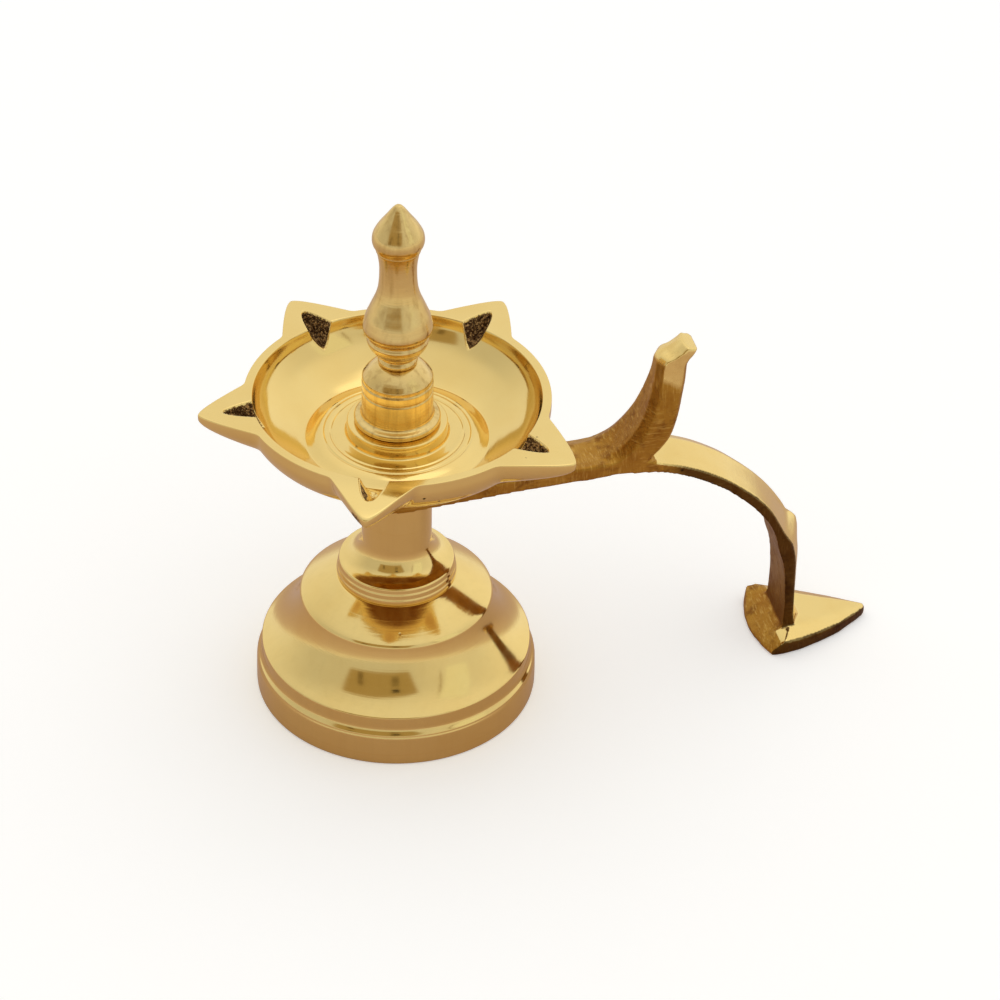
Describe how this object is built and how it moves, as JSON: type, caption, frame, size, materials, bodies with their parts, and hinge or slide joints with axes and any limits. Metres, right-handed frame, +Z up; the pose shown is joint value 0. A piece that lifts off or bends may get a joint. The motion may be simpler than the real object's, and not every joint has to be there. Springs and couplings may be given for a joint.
{
  "type": "standing oil lamp",
  "caption": "Brass standing oil lamp with a hollow bell foot, turned stem, spouted oil bowl, pointed finial and a side handle whose leaf-shaped tail rests on the table.",
  "frame": {"origin": "on the lamp's turned axis, in the plane of the foot's lower rim, which is the table", "axes": "+Z up along the turned axis, +X along the handle away from the lamp, +Y to the left of the handle"},
  "size_m": [0.1486, 0.0774, 0.121],
  "materials": {
    "turned_brass": "lathe-polished with fine turning lines",
    "bowl_brass": "polished, with pitted, sooty wick grooves",
    "filed_brass": "rough filed brown sides with polished upper faces",
    "fastener_steel": "plain zinc-plated steel"
  },
  "bodies": {
    "lamp": {"foot": "turned_brass", "stem": "turned_brass", "handle": "filed_brass", "oil_bowl": "bowl_brass", "tie_rod": "fastener_steel", "foot_washer": "fastener_steel", "foot_nut": "fastener_steel"},
    "collar": {"hub_collar": "turned_brass"},
    "finial": {"finial": "turned_brass"}
  },
  "joints": [
    {"name": "collar_turn", "type": "hinge", "parent": "lamp", "child": "collar", "pos_m": [0, 0, 0.0687], "axis": [0, 0, 1], "range_deg": [0, 6480]},
    {"name": "finial_unscrew", "type": "slide", "parent": "collar", "child": "finial", "axis": [0, 0, 1], "range_m": [0, 0.0144]}
  ],
  "couplings": [
    {"joint": "finial_unscrew", "follows": "collar_turn", "m_per_rad": 0.00012732}
  ]
}
